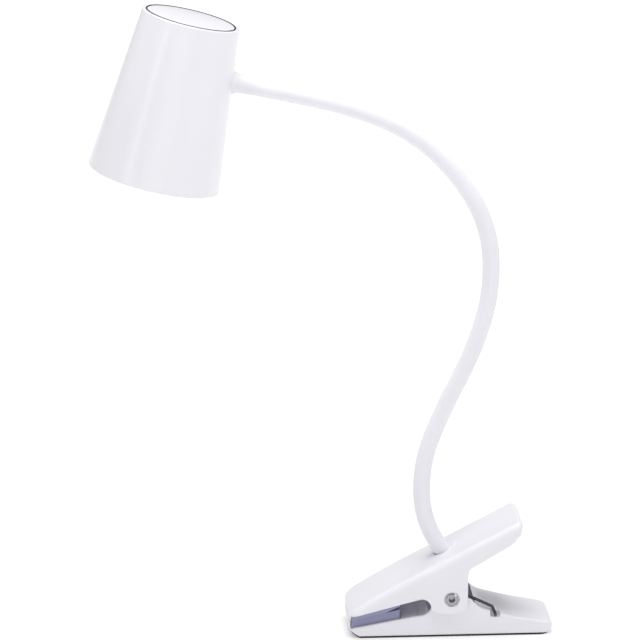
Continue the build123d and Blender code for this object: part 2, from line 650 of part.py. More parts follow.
with BuildPart() as head_leads:
    for side in (-1, 1):
        with BuildLine(SECTION.offset(side)) as route:
            FilletPolyline((23.5, 63.9), (14.5, 63.7), (12.0, 69), (12.0, BOARD_TOP - 1.65), radius=2.5)
        with BuildSketch(Plane(origin=route.line @ 0, z_dir=route.line % 0)):
            Circle(0.6)
        sweep(path=route.line)
save(head_leads.part, "head_leads")
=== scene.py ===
import json
import math
from itertools import product

import bpy
import numpy as np
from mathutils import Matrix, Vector


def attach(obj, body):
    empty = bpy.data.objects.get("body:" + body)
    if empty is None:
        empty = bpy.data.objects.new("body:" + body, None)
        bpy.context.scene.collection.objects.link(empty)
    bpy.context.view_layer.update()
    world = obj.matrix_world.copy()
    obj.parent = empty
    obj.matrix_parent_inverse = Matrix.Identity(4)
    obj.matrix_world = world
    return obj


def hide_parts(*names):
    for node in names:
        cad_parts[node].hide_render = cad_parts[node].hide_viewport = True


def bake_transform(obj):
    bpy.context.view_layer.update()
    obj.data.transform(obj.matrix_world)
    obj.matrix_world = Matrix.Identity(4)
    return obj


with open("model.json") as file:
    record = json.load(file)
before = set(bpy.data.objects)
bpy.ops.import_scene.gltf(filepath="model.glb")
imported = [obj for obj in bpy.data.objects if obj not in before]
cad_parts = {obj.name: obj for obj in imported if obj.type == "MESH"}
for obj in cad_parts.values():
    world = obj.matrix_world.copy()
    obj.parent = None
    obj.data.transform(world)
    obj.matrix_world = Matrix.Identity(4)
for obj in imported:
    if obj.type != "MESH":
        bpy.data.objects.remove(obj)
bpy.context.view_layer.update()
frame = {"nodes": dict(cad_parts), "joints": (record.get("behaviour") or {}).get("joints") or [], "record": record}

# Clip-on reading lamp: the looks of a conical shade on a gooseneck that stands on a sprung clip.
# Shapes are worked out in millimetres in the CAD's frame, and MM takes them to Blender's metres.
MM = 0.001
JOINTS = {joint["name"]: joint for joint in frame["joints"]}
SLOT_OF = {part["node"]: part["material_slot"] for part in frame["record"]["subparts"]}

# ---- Driving dimensions in millimetres, as in the CAD ----------------------------------
JAW_WIDTH = 43.0
WALL = 2.2
SIDE_GAP = 0.3
BASE_WIDTH = JAW_WIDTH - 2 * (WALL + SIDE_GAP)
UPPER_INSIDE = JAW_WIDTH / 2 - WALL
BASE_INSIDE = BASE_WIDTH / 2 - WALL
PIVOT_Z = JOINTS["jaw_open"]["pos_m"][2] / MM
PIN_R = 2.5
PIN_HEAD_R = 3.8
FOOT_T = 1.0
LIP_X = -59.2  # back of both tips' lips
PLAN_CORNER = 7.0  # corner of each jaw, seen from above
POST_R = 2.6  # posts that take the covers' screws

# Torsion spring
WIRE_R = 0.9
COIL_R = 4.6
COIL_TURNS = 10  # less the angle between the legs
LOWER_LEG_Y = -15.3
UPPER_LEG_Y = 10.5
LOWER_LEG_ANGLE = math.radians(-26.0)
LOWER_LEG_LENGTH = 25.0
HOOK_X = 26.2  # the lower leg's hooked end
HOOK_Z = 13.2

# Gooseneck: equal arcs, each turning by so many degrees, from the clip to the head
NECK_R = 5.0
SLEEVE_INSIDE_R = 4.3
NECK_START = (-3.2, 47.2)
NECK_START_ANGLE = 129.0
NECK_ARC = 37.6
NECK_TURNS = (-36, -24, -6, 11, 19, 27, 18, 20, 9, 1)

# Shade: heights are up its axis from the middle of its mouth
SHADE_BOTTOM = Vector((-171.8, 0, 276.4))
SHADE_R_BOTTOM = 38.3
SHADE_R_TOP = 28.1
SHADE_LENGTH = 95.0
SHADE_WALL = 1.8
CAP_R = 25.6
CAP_GAP = 0.55
CAP_T = 2.4
STEM_R = 4.0
STEM_END = 87.05
BULKHEAD_TOP = 91.1
BULKHEAD_BOTTOM = 89.3
CAP_LOOK_R = CAP_R - 0.3  # leaves room for the dark ring of painted groove shadow
GROOVE_SHADOW_RISE = 0.22  # how far the dark ring of painted groove shadow stands proud of the rim
GROOVE_SHADOW_BOTTOM = 93.2

# ---- Camera --------------------------------------------------------------------------
VIEW_AZIMUTH = math.radians(-3.5)
VIEW_ELEVATION = math.radians(15.7)
VIEW_DISTANCE = 2.0
VIEW_WIDTH = 0.3712  # metres across the picture, at the aim
AIM = Vector((-0.0765, 0.0, 0.1903))
SENSOR = 36.0

towards_camera = Vector((
    math.sin(VIEW_AZIMUTH) * math.cos(VIEW_ELEVATION),
    -math.cos(VIEW_AZIMUTH) * math.cos(VIEW_ELEVATION),
    math.sin(VIEW_ELEVATION),
))
camera_data = bpy.data.cameras.new("camera")
camera_data.sensor_width = SENSOR
camera_data.lens = SENSOR * VIEW_DISTANCE / VIEW_WIDTH
camera_data.clip_end = 50.0
camera = bpy.data.objects.new("camera", camera_data)
camera.location = AIM + towards_camera * VIEW_DISTANCE
camera.rotation_euler = towards_camera.to_track_quat("Z", "Y").to_euler()
bpy.context.scene.collection.objects.link(camera)
bpy.context.scene.camera = camera


# ---- Materials -----------------------------------------------------------------------
NOISE_LOW, NOISE_HIGH = 0.3, 0.7  # most of a noise texture lies between these


def new_material(name):
    """An empty node material with its Principled shader linked to the output."""
    made = bpy.data.materials.new(name)
    made.use_nodes = True
    made.node_tree.nodes.clear()
    output = made.node_tree.nodes.new("ShaderNodeOutputMaterial")
    shader = made.node_tree.nodes.new("ShaderNodeBsdfPrincipled")
    made.node_tree.links.new(shader.outputs["BSDF"], output.inputs["Surface"])
    return made, shader


def object_noise(made, scale, detail=3.0, stretch=(1, 1, 1)):
    """A noise texture in the object's own coordinates, with scale in features per metre."""
    nodes, links = made.node_tree.nodes, made.node_tree.links
    coordinates = nodes.new("ShaderNodeTexCoord")
    mapping = nodes.new("ShaderNodeMapping")
    mapping.inputs["Scale"].default_value = stretch
    noise = nodes.new("ShaderNodeTexNoise")
    noise.inputs["Scale"].default_value = scale
    noise.inputs["Detail"].default_value = detail
    links.new(coordinates.outputs["Object"], mapping.inputs["Vector"])
    links.new(mapping.outputs["Vector"], noise.inputs["Vector"])
    return noise.outputs["Fac"]


def ranged(made, value, low, high):
    """A noise's middle range, NOISE_LOW to NOISE_HIGH, taken to run from low to high."""
    spread = made.node_tree.nodes.new("ShaderNodeMapRange")
    spread.inputs["From Min"].default_value = NOISE_LOW
    spread.inputs["From Max"].default_value = NOISE_HIGH
    spread.inputs["To Min"].default_value = low
    spread.inputs["To Max"].default_value = high
    made.node_tree.links.new(value, spread.inputs["Value"])
    return spread.outputs["Result"]


def two_tone(made, factor, first, second):
    """A colour that goes from first to second over a noise's middle range."""
    ramp = made.node_tree.nodes.new("ShaderNodeValToRGB")
    ends = ((NOISE_LOW, first), (NOISE_HIGH, second))
    for element, (position, colour) in zip(ramp.color_ramp.elements, ends):
        element.position = position
        element.color = (*colour, 1)
    made.node_tree.links.new(factor, ramp.inputs["Fac"])
    return ramp.outputs["Color"]


def bumped(made, shader, height, depth):
    """Sets the shader's normal from a height texture, depth in metres."""
    bump = made.node_tree.nodes.new("ShaderNodeBump")
    bump.inputs["Distance"].default_value = depth
    made.node_tree.links.new(height, bump.inputs["Height"])
    made.node_tree.links.new(bump.outputs["Normal"], shader.inputs["Normal"])


CLOUDS_PER_METRE = 45.0
SMEARS_PER_METRE = 160.0
COAT_ROUGHNESS = 0.24


def moulded(
    name, colour, roughness, mottle, grain, depth, coat=0.0, metallic=0.0, stretch=(1, 1, 1)
):
    """Moulded plastic, rubber or plain metal: a slight mottle, uneven gloss and a fine grain."""
    made, shader = new_material(name)
    cloud = object_noise(made, CLOUDS_PER_METRE)
    darker = tuple(channel * (1 - mottle) for channel in colour)
    lighter = tuple(min(1.0, channel * (1 + mottle)) for channel in colour)
    made.node_tree.links.new(two_tone(made, cloud, darker, lighter), shader.inputs["Base Color"])
    smear = object_noise(made, SMEARS_PER_METRE, stretch=stretch)
    gloss = ranged(made, smear, roughness * 0.9, min(1.0, roughness * 1.1))
    made.node_tree.links.new(gloss, shader.inputs["Roughness"])
    bumped(made, shader, object_noise(made, grain, 2.0, stretch), depth)
    shader.inputs["Metallic"].default_value = metallic
    shader.inputs["Coat Weight"].default_value = coat
    shader.inputs["Coat Roughness"].default_value = COAT_ROUGHNESS
    return made


WHITE = (0.80, 0.794, 0.838)
METAL = dict(metallic=1.0)
# Each slot's colour, roughness, mottle, grain per metre, the grain's depth in metres, and the rest
FINISHES = {
    "shade_white": (WHITE, 0.32, 0.006, 500.0, 0.000002, dict(coat=0.6)),
    "clip_white": (WHITE, 0.38, 0.010, 1600.0, 0.00001, dict(coat=0.10)),
    "neck_white": (WHITE, 0.55, 0.012, 2200.0, 0.00002, {}),
    "neck_steel": ((0.35, 0.35, 0.36), 0.40, 0.10, 700.0, 0.00005, METAL | {"stretch": (1, 1, 6)}),
    "pad_grey": ((0.28, 0.285, 0.43), 0.55, 0.04, 1800.0, 0.00003, {}),
    "foot_black": ((0.018, 0.018, 0.022), 0.60, 0.10, 1500.0, 0.00004, {}),
    "pin_steel": ((0.38, 0.38, 0.40), 0.24, 0.05, 1200.0, 0.00001, METAL),
    "spring_steel": ((0.09, 0.09, 0.095), 0.30, 0.08, 1200.0, 0.00001, METAL),
    "fastener_steel": ((0.52, 0.52, 0.53), 0.30, 0.06, 1200.0, 0.00002, METAL),
    "ballast_iron": ((0.16, 0.16, 0.17), 0.62, 0.18, 500.0, 0.0001, dict(metallic=0.9)),
    # Inner cover's pale lavender tint: painted shade, the bluish tone of the shaded throat put into its colour
    "cover_plastic": ((0.70, 0.69, 0.84), 0.50, 0.02, 1500.0, 0.00002, {}),
    "plate_steel": ((0.50, 0.50, 0.51), 0.34, 0.06, 900.0, 0.00002, METAL),
    "socket_metal": ((0.60, 0.60, 0.62), 0.28, 0.05, 900.0, 0.00001, METAL),
    "switch_black": ((0.02, 0.02, 0.02), 0.45, 0.10, 1500.0, 0.00002, {}),
    "led_yellow": ((0.85, 0.62, 0.10), 0.25, 0.06, 1500.0, 0.00001, dict(coat=0.6)),
    "heat_sink_aluminium": ((0.70, 0.70, 0.71), 0.42, 0.06, 500.0, 0.00005, METAL),
    "reflector_white": ((0.88, 0.88, 0.88), 0.20, 0.01, 900.0, 0.00001, dict(coat=0.3)),
    "diffuser_white": ((0.84, 0.84, 0.82), 0.48, 0.01, 2600.0, 0.00004, {}),
    "ring_white": (WHITE, 0.42, 0.01, 1500.0, 0.00001, {}),
    "lead_insulation": ((0.50, 0.03, 0.03), 0.40, 0.06, 1500.0, 0.00001, {}),
}
MATERIALS = {
    slot: moulded(slot, *finish, **more) for slot, (*finish, more) in FINISHES.items()
}


def board_material(name):
    """Green circuit board: solder mask over copper tracks."""
    made, shader = new_material(name)
    mask_bump = 0.00004
    tracks_per_metre = 220.0
    coordinates = made.node_tree.nodes.new("ShaderNodeTexCoord")
    tracks = made.node_tree.nodes.new("ShaderNodeTexBrick")
    tracks.inputs["Scale"].default_value = tracks_per_metre
    tracks.inputs["Color1"].default_value = (0.012, 0.115, 0.035, 1)
    tracks.inputs["Color2"].default_value = (0.016, 0.150, 0.048, 1)
    tracks.inputs["Mortar"].default_value = (0.030, 0.220, 0.080, 1)
    tracks.inputs["Mortar Size"].default_value = 0.06
    made.node_tree.links.new(coordinates.outputs["Object"], tracks.inputs["Vector"])
    made.node_tree.links.new(tracks.outputs["Color"], shader.inputs["Base Color"])
    bumped(made, shader, tracks.outputs["Fac"], mask_bump)
    gloss = ranged(made, object_noise(made, 300.0), 0.25, 0.35)
    made.node_tree.links.new(gloss, shader.inputs["Roughness"])
    return made


MATERIALS["board_green"] = board_material("board_green")


def dress(piece, body, slot, *nodes):
    """Gives a new piece its material and its body, and hides the CAD nodes that it stands for."""
    piece.data.materials.clear()
    piece.data.materials.append(MATERIALS[slot])
    if body:
        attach(piece, body)
    if nodes:
        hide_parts(*nodes)
    return piece


for node_name, node in frame["nodes"].items():
    node.data.materials.clear()
    node.data.materials.append(MATERIALS[SLOT_OF[node_name]])


# ---- Mesh helpers --------------------------------------------------------------------
def add_mesh(name, points, faces, normals=None, sharp=None):
    """An object from points in millimetres, with one normal a point or a sharp edge's degrees."""
    mesh = bpy.data.meshes.new(name)
    mesh.from_pydata((np.asarray(points, float) * MM).tolist(), [], faces)
    mesh.validate()
    mesh.polygons.foreach_set("use_smooth", [True] * len(mesh.polygons))
    if sharp is not None:
        mesh.set_sharp_from_angle(angle=math.radians(sharp))
    if normals is not None:
        mesh.normals_split_custom_set_from_vertices(np.asarray(normals, float).tolist())
    piece = bpy.data.objects.new(name, mesh)
    bpy.context.scene.collection.objects.link(piece)
    return piece


def arc_through(a, b, c, steps=10):
    """Points along the circle from a through b to c, without a itself."""
    (ax, ay), (bx, by), (cx, cy) = a, b, c
    d = 2 * (ax * (by - cy) + bx * (cy - ay) + cx * (ay - by))
    a2, b2, c2 = ax * ax + ay * ay, bx * bx + by * by, cx * cx + cy * cy
    ux = (a2 * (by - cy) + b2 * (cy - ay) + c2 * (ay - by)) / d
    uy = (a2 * (cx - bx) + b2 * (ax - cx) + c2 * (bx - ax)) / d
    radius = math.hypot(ax - ux, ay - uy)
    start = math.atan2(ay - uy, ax - ux)
    middle = (math.atan2(by - uy, bx - ux) - start) % math.tau
    sweep = (math.atan2(cy - uy, cx - ux) - start) % math.tau
    if middle > sweep:
        sweep -= math.tau
    angles = [start + sweep * (i + 1) / steps for i in range(steps)]
    return [(ux + radius * math.cos(t), uy + radius * math.sin(t)) for t in angles]


def outline(start, *moves):
    """A closed outline: each move is a point, or a (via, end) pair for an arc."""
    points = [start]
    for move in moves:
        if isinstance(move[0], tuple):
            points += arc_through(points[-1], *move)
        else:
            points.append(move)
    return points


def rounded_profile(points, radii, steps=6):
    """A closed profile whose corners are rounded, one radius for each point."""
    made = []
    for i, (point, radius) in enumerate(zip(points, radii)):
        corner = np.array(point, float)
        before = np.array(points[i - 1], float) - corner
        after = np.array(points[(i + 1) % len(points)], float) - corner
        if radius == 0:
            made.append(tuple(corner))
            continue
        before, after = before / np.linalg.norm(before), after / np.linalg.norm(after)
        half = math.acos(float(np.clip(before @ after, -1, 1))) / 2
        inward = (before + after) / np.linalg.norm(before + after)
        centre = corner + inward * radius / math.sin(half)
        first = corner + before * radius / math.tan(half) - centre
        last = corner + after * radius / math.tan(half) - centre
        turn = math.pi - 2 * half
        for step in range(steps + 1):
            share = step / steps
            mixed = first * math.sin((1 - share) * turn) + last * math.sin(share * turn)
            made.append(tuple(centre + mixed / math.sin(turn)))
    return made


def lathe(name, profile, origin, axis, segments, sharp=35):
    """Turns a closed profile of (radius, height) points, in millimetres, about an axis."""
    axis = Vector(axis).normalized()
    across = axis.orthogonal().normalized()
    other = axis.cross(across)
    points, rings = [], []
    for radius, height in profile:
        centre = Vector(origin) + axis * height
        if radius < 1e-6:
            rings.append([len(points)])
            points.append(tuple(centre))
            continue
        rings.append(list(range(len(points), len(points) + segments)))
        for k in range(segments):
            angle = math.tau * k / segments
            out = across * math.cos(angle) + other * math.sin(angle)
            points.append(tuple(centre + out * radius))
    faces = []
    for lower, upper in zip(rings, rings[1:] + rings[:1]):
        for k in range(segments):
            n = (k + 1) % segments
            if len(lower) == 1 and len(upper) == 1:
                break
            if len(lower) == 1:
                faces.append((lower[0], upper[n], upper[k]))
            elif len(upper) == 1:
                faces.append((lower[k], lower[n], upper[0]))
            else:
                faces.append((lower[k], lower[n], upper[n], upper[k]))
    return add_mesh(name, points, faces, sharp=sharp)


def tube(name, centres, radius, segments, inside=None):
    """A tube along centres in millimetres, closed at both ends, or hollow with an inside radius."""
    centres = [Vector(c) for c in centres]
    tangents = []
    for i in range(len(centres)):
        ahead = centres[min(i + 1, len(centres) - 1)] - centres[max(i - 1, 0)]
        tangents.append(ahead.normalized())
    side = tangents[0].orthogonal().normalized()
    points, normals = [], []
    for centre, tangent in zip(centres, tangents):
        side = (side - tangent * side.dot(tangent)).normalized()
        up = tangent.cross(side)
        for k in range(segments):
            angle = math.tau * k / segments
            out = side * math.cos(angle) + up * math.sin(angle)
            points.append(centre + out * radius)
            normals.append(out)
    count = len(centres)
    faces = []
    for i, k in product(range(count - 1), range(segments)):
        n = (k + 1) % segments
        a, b = i * segments, (i + 1) * segments
        faces.append((a + k, a + n, b + n, b + k))
    if inside is None:
        faces.append(tuple(reversed(range(segments))))
        faces.append(tuple(range((count - 1) * segments, count * segments)))
        return add_mesh(name, points, faces, sharp=50)
    offset = len(points)
    points += [p - n * (radius - inside) for p, n in zip(points[:offset], normals)]
    faces += [tuple(offset + v for v in reversed(face)) for face in faces]
    for row, flip in ((0, False), ((count - 1) * segments, True)):
        for k in range(segments):
            n = (k + 1) % segments
            face = (row + k, offset + row + k, offset + row + n, row + n)
            faces.append(tuple(reversed(face)) if flip else face)
    return add_mesh(name, points, faces, sharp=50)


# ---- Solids from distance fields ------------------------------------------------------
# A field gives the distance to a surface in millimetres, negative inside, for arrays x, y, z.
def polygon(points, u, v):
    """Distance from (u, v) to a closed outline."""
    shape = np.broadcast(u, v).shape
    nearest = np.full(shape, np.inf)
    inside = np.zeros(shape, bool)
    for (au, av), (bu, bv) in zip(points, points[1:] + points[:1]):
        du, dv = bu - au, bv - av
        share = np.clip(((u - au) * du + (v - av) * dv) / (du * du + dv * dv), 0, 1)
        nearest = np.minimum(nearest, (u - au - share * du) ** 2 + (v - av - share * dv) ** 2)
        if dv:
            inside ^= ((av > v) != (bv > v)) & (u < au + (v - av) * du / dv)
    return np.where(inside, -1.0, 1.0) * np.sqrt(nearest)


def both(a, b, radius):
    """The overlap of two solids, its new edges rounded."""
    near_a, near_b = np.maximum(a + radius, 0), np.maximum(b + radius, 0)
    return np.minimum(np.maximum(a, b), -radius) + np.sqrt(near_a**2 + near_b**2)


def less(a, b, radius):
    """The first solid with the second cut out of it."""
    return both(a, -b, radius)


def plus(a, b, radius):
    """Both solids as one, with a fillet where they meet."""
    return -both(-a, -b, radius)


def rounded_rectangle(u, v, centre, size, radius):
    """Distance to a rectangle with rounded corners."""
    du = np.abs(u - centre[0]) - (size[0] / 2 - radius)
    dv = np.abs(v - centre[1]) - (size[1] / 2 - radius)
    outside = np.hypot(np.maximum(du, 0), np.maximum(dv, 0))
    return np.minimum(np.maximum(du, dv), 0) + outside - radius


def block(x, y, z, centre, size, radius):
    """Distance to a box with rounded edges."""
    d = [np.abs(w - c) - (s / 2 - radius) for w, c, s in zip((x, y, z), centre, size)]
    outside = np.sqrt(sum(np.maximum(part, 0) ** 2 for part in d))
    return outside + np.minimum(np.maximum(np.maximum(d[0], d[1]), d[2]), 0) - radius


def rod(x, y, z, origin, axis, radius, start, end):
    """Distance to a round rod along an axis, between two places on it."""
    dx, dy, dz = x - origin[0], y - origin[1], z - origin[2]
    along = dx * axis[0] + dy * axis[1] + dz * axis[2]
    across = np.sqrt(np.maximum(dx**2 + dy**2 + dz**2 - along**2, 0))
    return np.maximum(across - radius, np.maximum(start - along, along - end))


def grown(name, field, low, high, step):
    """The mesh of a field's surface, by surface nets, its points drawn onto the surface itself."""
    counts = [int(math.ceil((b - a) / step)) + 1 for a, b in zip(low, high)]
    lines = [a + step * np.arange(n) for a, n in zip(low, counts)]
    x, y, z = lines[0][:, None, None], lines[1][None, :, None], lines[2][None, None, :]
    values = np.broadcast_to(field(x, y, z), counts).astype(np.float64)
    cells = [n - 1 for n in counts]
    summed = np.zeros((*cells, 3))
    crossings = np.zeros(cells, int)
    for direction in range(3):
        shift = [0, 0, 0]
        shift[direction] = 1
        others = [d for d in range(3) if d != direction]
        for corner in product((0, 1), repeat=2):
            base = [0, 0, 0]
            base[others[0]], base[others[1]] = corner
            first = values[tuple(slice(b, b + c) for b, c in zip(base, cells))]
            last = values[tuple(slice(b + s, b + s + c) for b, s, c in zip(base, shift, cells))]
            hit = (first < 0) != (last < 0)
            share = np.where(hit, first / np.where(hit, first - last, 1), 0)
            crossings += hit
            summed[..., direction] += share
            for other in others:
                summed[..., other] += hit * base[other]
    used = crossings > 0
    index = np.full(cells, -1)
    index[used] = np.arange(used.sum())
    corner_of = np.stack(np.nonzero(used), 1)
    points = np.array(low) + step * (corner_of + summed[used] / crossings[used][:, None])

    def at(p):
        return field(p[:, 0], p[:, 1], p[:, 2])

    def slope(p, reach):
        moved = []
        for d in range(3):
            offset = np.zeros(3)
            offset[d] = reach
            moved.append((at(p + offset) - at(p - offset)) / (2 * reach))
        return np.stack(moved, 1)

    for _ in range(4):
        steep = slope(points, 0.02)
        size = np.maximum((steep**2).sum(1), 0.2)
        move = at(points)[:, None] * steep / size[:, None]
        points -= np.clip(move, -step / 2, step / 2)
    normals = slope(points, 0.06)
    normals /= np.maximum(np.linalg.norm(normals, axis=1), 1e-9)[:, None]

    faces = []
    negative = values < 0
    for direction in range(3):
        u, v = (direction + 1) % 3, (direction + 2) % 3
        first = [slice(1, n - 1) for n in counts]
        first[direction] = slice(0, counts[direction] - 1)
        last = list(first)
        last[direction] = slice(1, counts[direction])
        a, b = negative[tuple(first)], negative[tuple(last)]
        places = np.stack(np.nonzero(a != b), 1)
        entering = a[a != b]
        places[:, u] += 1
        places[:, v] += 1
        ring = []
        for back_u, back_v in ((1, 1), (0, 1), (0, 0), (1, 0)):
            cell = places.copy()
            cell[:, u] -= back_u
            cell[:, v] -= back_v
            ring.append(index[tuple(cell.T)])
        quads = np.stack(ring, 1)
        quads[~entering] = quads[~entering][:, ::-1]
        faces.append(quads)
    return add_mesh(name, points, np.concatenate(faces).tolist(), normals=normals)


# ---- Stage and light -----------------------------------------------------------------
FLOOR_REACH = 6000
FLOOR_TONES = ((0.58, 0.58, 0.585), (0.60, 0.60, 0.605))
FLOOR_ROUGHNESS = 0.9
# Emission strength under the lamp and far from it, and how fast it changes, per metre
FLOOR_GLOW_NEAR = 0.36
FLOOR_GLOW_FAR = 0.76
FLOOR_GLOW_FALL = 0.6
WORLD_STRENGTH = 0.415
# Each light's place and size in metres, and its power in watts
LIGHTS = {
    "top_light": ((-0.15, 0.0, 1.6), (1.3, 1.1), 22.0),
    "front_light": ((-0.35, -1.75, 0.42), (1.0, 1.0), 2.1),
    "left_light": ((-1.13, -0.83, 0.5), (0.13, 1.0), 1.2),
    "right_light": ((1.3, -0.6, 0.9), (0.5, 0.9), 4.8),
}


def pale_floor():
    """A wide pale floor that the lamp stands on, and that glows a little more away from it."""
    corners = [(-1, -1), (1, -1), (1, 1), (-1, 1)]
    points = [(x * FLOOR_REACH, y * FLOOR_REACH, 0) for x, y in corners]
    floor = add_mesh("floor", points, [(0, 1, 2, 3)])
    made, shader = new_material("floor")
    tone = two_tone(made, object_noise(made, 3.0), *FLOOR_TONES)
    made.node_tree.links.new(tone, shader.inputs["Base Color"])
    shader.inputs["Roughness"].default_value = FLOOR_ROUGHNESS
    shader.inputs["Specular IOR Level"].default_value = 0.1
    shader.inputs["Emission Color"].default_value = (1, 1, 1, 1)
    coordinates = made.node_tree.nodes.new("ShaderNodeTexCoord")
    mapping = made.node_tree.nodes.new("ShaderNodeMapping")
    mapping.inputs["Scale"].default_value = (FLOOR_GLOW_FALL,) * 3
    nearness = made.node_tree.nodes.new("ShaderNodeTexGradient")
    nearness.gradient_type = "SPHERICAL"
    glow = made.node_tree.nodes.new("ShaderNodeMapRange")
    glow.inputs["To Min"].default_value = FLOOR_GLOW_FAR
    glow.inputs["To Max"].default_value = FLOOR_GLOW_NEAR
    made.node_tree.links.new(coordinates.outputs["Object"], mapping.inputs["Vector"])
    made.node_tree.links.new(mapping.outputs["Vector"], nearness.inputs["Vector"])
    made.node_tree.links.new(nearness.outputs["Fac"], glow.inputs["Value"])
    made.node_tree.links.new(glow.outputs["Result"], shader.inputs["Emission Strength"])
    floor.data.materials.append(made)


def softbox(name, place, size, power):
    """A rectangular light that faces the lamp's middle."""
    data = bpy.data.lights.new(name, "AREA")
    data.shape = "RECTANGLE"
    data.size, data.size_y = size
    data.energy = power
    light = bpy.data.objects.new(name, data)
    light.location = place
    light.rotation_euler = (Vector(place) - AIM).to_track_quat("Z", "Y").to_euler()
    bpy.context.scene.collection.objects.link(light)


world = bpy.data.worlds.new("world")
world.use_nodes = True
world.node_tree.nodes["Background"].inputs["Color"].default_value = (1.0, 1.0, 1.0, 1)
world.node_tree.nodes["Background"].inputs["Strength"].default_value = WORLD_STRENGTH
bpy.context.scene.world = world
bpy.context.scene.view_settings.view_transform = "Standard"

pale_floor()
for light_name, (place, size, power) in LIGHTS.items():
    softbox(light_name, place, size, power)


# ---- Neck ----------------------------------------------------------------------------
def neck_place(length):
    """Centre and direction angle of the neck at a length along it from the clip."""
    x, z = NECK_START
    angle = math.radians(NECK_START_ANGLE)
    for turn in NECK_TURNS:
        here = min(length, NECK_ARC)
        turned = math.radians(turn) * here / NECK_ARC
        chord = here * (math.sin(turned / 2) / (turned / 2) if abs(turned) > 1e-9 else 1)
        x += chord * math.cos(angle + turned / 2)
        z += chord * math.sin(angle + turned / 2)
        angle += turned
        length -= here
        if length <= 1e-9:
            break
    return Vector((x, 0, z)), angle


def along(angle):
    """A direction in the lamp's middle plane."""
    return Vector((math.cos(angle), 0, math.sin(angle)))


NECK_LENGTH = NECK_ARC * len(NECK_TURNS)
NECK_RING_STEP = 1.3
NECK_SEGMENTS = 56
entry, entry_angle = neck_place(NECK_LENGTH)
entry_axis = along(entry_angle)

# One length of sleeve for each joint, from the middle of one arc to the middle of the next.
neck_joints = [joint for joint in frame["joints"] if joint["name"].startswith("neck_")]
for number, joint in enumerate(neck_joints, start=1):
    begin = (number - 0.5) * NECK_ARC
    end = (number + 0.5) * NECK_ARC
    first = 0.0 if number == 1 else begin
    last = NECK_LENGTH if number == len(neck_joints) else end
    rings = int(round((last - first) / NECK_RING_STEP))
    centres = [neck_place(first + (last - first) * i / rings)[0] for i in range(rings + 1)]
    sleeve = tube(f"neck_skin_{number:02d}", centres, NECK_R, NECK_SEGMENTS, SLEEVE_INSIDE_R)
    nodes = [f"neck_sleeve_{number:02d}"]
    if number == len(neck_joints):
        nodes.append(f"neck_sleeve_{number + 1:02d}")
    dress(sleeve, None, "neck_white", *nodes)
    start_point, end_point = neck_place(begin)[0] * MM, neck_place(end)[0] * MM
    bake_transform(sleeve)


# ---- Shade ---------------------------------------------------------------------------
shade_axis = -Vector(JOINTS["switch_press"]["axis"]).normalized()


def shade_radius(height):
    """Outer radius of the shade at a height up its axis."""
    return SHADE_R_BOTTOM - (SHADE_R_BOTTOM - SHADE_R_TOP) * height / SHADE_LENGTH


SEGMENTS = 192
INSIDE_SEGMENTS = 160


def head_lathe(name, points, radii, segments=SEGMENTS):
    """A piece turned about the shade's axis from (radius, height) corners and their roundings."""
    return lathe(name, rounded_profile(points, radii), SHADE_BOTTOM, shade_axis, segments)


recess = CAP_R + CAP_GAP
stem_hole = STEM_R + 0.06
shade_points = [
    (SHADE_R_BOTTOM, 0), (SHADE_R_TOP, SHADE_LENGTH), (recess, SHADE_LENGTH),
    (recess, BULKHEAD_TOP), (stem_hole, BULKHEAD_TOP), (stem_hole, BULKHEAD_BOTTOM),
    (shade_radius(BULKHEAD_BOTTOM) - SHADE_WALL, BULKHEAD_BOTTOM),
    (SHADE_R_BOTTOM - SHADE_WALL, 0),
]
shade = head_lathe("shade", shade_points, (0.85, 0.7, 0.25, 0.3, 0, 0, 1.0, 0.6))
dress(shade, "head", "shade_white", "shade_shell")

cap_bottom = SHADE_LENGTH - CAP_T
cap_points = [
    (0, SHADE_LENGTH), (CAP_LOOK_R, SHADE_LENGTH), (CAP_LOOK_R, cap_bottom),
    (STEM_R, cap_bottom), (STEM_R, STEM_END), (0, STEM_END),
]
cap = head_lathe("cap", cap_points, (0, 0.3, 0.2, 0.5, 0.2, 0))
dress(cap, "cap", "shade_white", "top_cap")

# Dark ring in the groove round the cap: painted shadow, a dark piece standing in for the groove's shade
groove_shadow_clearance = 0.02
groove_shadow_inner = CAP_LOOK_R + groove_shadow_clearance
groove_shadow_outer = recess - groove_shadow_clearance
groove_shadow_top = SHADE_LENGTH + GROOVE_SHADOW_RISE
groove_shadow_points = [
    (groove_shadow_inner, GROOVE_SHADOW_BOTTOM), (groove_shadow_outer, GROOVE_SHADOW_BOTTOM),
    (groove_shadow_outer, groove_shadow_top), (groove_shadow_inner, groove_shadow_top),
]
dress(head_lathe("cap_groove_shadow", groove_shadow_points, (0.05, 0.05, 0.1, 0.1)), "head", "foot_black")

# Ring that holds the diffuser inside the shade
RING_BOTTOM = 21.6
RING_TOP = 24.2
RING_INSIDE_R = 30.8
ring_points = [
    (RING_INSIDE_R, RING_BOTTOM), (34.0, RING_BOTTOM), (33.8, RING_TOP), (RING_INSIDE_R, RING_TOP),
]
ring = head_lathe("retaining_ring", ring_points, (0.9, 0.3, 0.2, 0.2), INSIDE_SEGMENTS)
dress(ring, "head", "ring_white", "lens_ring")

# Frosted diffuser, its underside slightly domed
LENS_R = 33.2
LENS_EDGE_BOTTOM = 25.1
LENS_TOP = 26.3
lens_points = [
    (0, 24.35), (16, 24.5), (30.5, LENS_EDGE_BOTTOM), (LENS_R, LENS_EDGE_BOTTOM),
    (LENS_R, LENS_TOP), (0, LENS_TOP),
]
lens = head_lathe("diffuser_disc", lens_points, (0, 20, 4, 0.2, 0.2, 0), INSIDE_SEGMENTS)
dress(lens, "head", "diffuser_white", "diffuser")

# ---- Collar where the neck enters the shade --------------------------------------------
# Radius at each share of the way from the neck's end to the shade's wall
COLLAR = ((0.0, 5.1), (0.25, 5.12), (0.5, 5.3), (0.7, 5.65), (0.85, 6.1), (0.95, 6.6), (1.0, 7.0))


